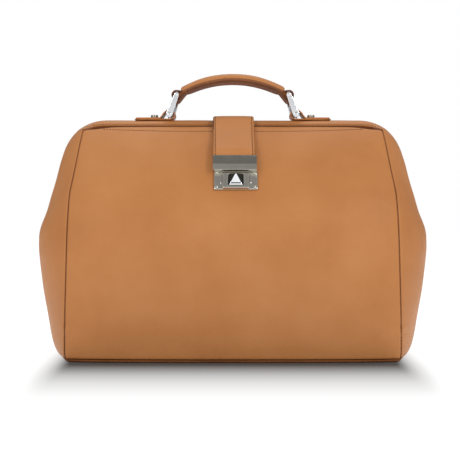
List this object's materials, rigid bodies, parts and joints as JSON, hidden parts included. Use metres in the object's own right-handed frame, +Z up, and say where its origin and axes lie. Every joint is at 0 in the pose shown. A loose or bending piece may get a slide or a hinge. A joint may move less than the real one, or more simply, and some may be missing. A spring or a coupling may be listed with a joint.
{
  "type": "doctor bag",
  "caption": "Soft leather doctor bag with a hinged steel frame mouth, padded top bar, ring-mounted handle and a strap that closes over a push-button lock.",
  "frame": {"origin": "middle of the base, on the ground", "axes": "+Z up, the front with the lock faces -Y, +X to the right seen from the front"},
  "size_m": [0.4312, 0.19, 0.3073],
  "materials": {
    "tan_leather": "smooth tan calf leather with a fine grain, satin",
    "edge_leather": "tan leather strap with darker painted edges",
    "lining_cloth": "plain woven lining cloth",
    "fibreboard": "pressed fibre board",
    "handle_filler": "felted filler cord",
    "frame_steel": "plain steel strip",
    "nickel": "polished dark nickel plate",
    "chrome": "bright polished"
  },
  "bodies": {
    "bag": {"base_panel": "tan_leather", "base_board": "fibreboard", "front_panel_lower": "tan_leather", "front_panel_middle": "tan_leather", "rear_panel_lower": "tan_leather", "rear_panel_middle": "tan_leather", "gusset_left_lower": "tan_leather", "gusset_left_upper": "tan_leather", "gusset_right_lower": "tan_leather", "gusset_right_upper": "tan_leather", "lining": "lining_cloth", "hinge_rivet_left": "frame_steel", "hinge_rivet_right": "frame_steel", "hinge_washer_left": "frame_steel", "hinge_washer_right": "frame_steel"},
    "front_half": {"front_frame": "frame_steel", "front_panel_upper": "tan_leather", "lock_plate": "nickel", "lock_case": "nickel", "lock_back_plate": "frame_steel", "lock_rivet_1": "nickel", "lock_rivet_2": "nickel", "lock_rivet_3": "nickel", "lock_rivet_4": "nickel", "button_spring": "frame_steel"},
    "rear_half": {"rear_frame": "frame_steel", "rear_panel_upper": "tan_leather", "top_bar_cover": "tan_leather", "top_bar_board": "fibreboard", "handle_tab_left": "tan_leather", "handle_tab_right": "tan_leather", "tab_stud_left": "nickel", "tab_stud_right": "nickel", "strap_anchor": "tan_leather"},
    "closing_strap": {"strap_flap": "tan_leather", "hasp": "nickel"},
    "ring_left": {"handle_ring_left": "chrome"},
    "ring_right": {"handle_ring_right": "chrome"},
    "handle": {"handle_strap": "edge_leather", "handle_cover": "tan_leather", "handle_filler": "handle_filler"},
    "button": {"lock_button": "nickel"}
  },
  "joints": [
    {"name": "front_frame_hinge", "type": "hinge", "parent": "bag", "child": "front_half", "pos_m": [0, 0, 0.13], "axis": [1, 0, 0], "range_deg": [0, 45], "deforming": ["front_panel_middle", "gusset_left_upper", "gusset_right_upper", "lining"]},
    {"name": "rear_frame_hinge", "type": "hinge", "parent": "bag", "child": "rear_half", "pos_m": [0, 0, 0.13], "axis": [-1, 0, 0], "range_deg": [0, 45], "deforming": ["rear_panel_middle"]},
    {"name": "strap_hinge", "type": "hinge", "parent": "rear_half", "child": "closing_strap", "pos_m": [0, -0.0186, 0.2573], "axis": [-1, 0, 0], "range_deg": [0, 108], "deforming": ["strap_flap"]},
    {"name": "ring_left_hinge", "type": "hinge", "parent": "rear_half", "child": "ring_left", "pos_m": [-0.0695, 0, 0.2615], "axis": [0, 1, 0], "range_deg": [-12, 12]},
    {"name": "ring_right_hinge", "type": "hinge", "parent": "rear_half", "child": "ring_right", "pos_m": [0.0695, 0, 0.2615], "axis": [0, 1, 0], "range_deg": [-12, 12]},
    {"name": "handle_hinge", "type": "hinge", "parent": "ring_left", "child": "handle", "pos_m": [-0.0615, 0, 0.283], "axis": [0, 1, 0], "range_deg": [-14, 14]},
    {"name": "lock_button_slide", "type": "slide", "parent": "front_half", "child": "button", "axis": [0, 0.8954, -0.4453], "range_m": [0, 0.0025], "stiffness_N_per_m": 300, "springref_m": -0.001, "deforming": ["button_spring"]}
  ],
  "couplings": [
    {"joint": "rear_frame_hinge", "follows": "front_frame_hinge", "ratio": 1},
    {"joint": "strap_hinge", "follows": "front_frame_hinge", "ratio": 2.4},
    {"joint": "ring_right_hinge", "follows": "ring_left_hinge", "ratio": 1},
    {"joint": "handle_hinge", "follows": "ring_left_hinge", "ratio": -1.13}
  ]
}
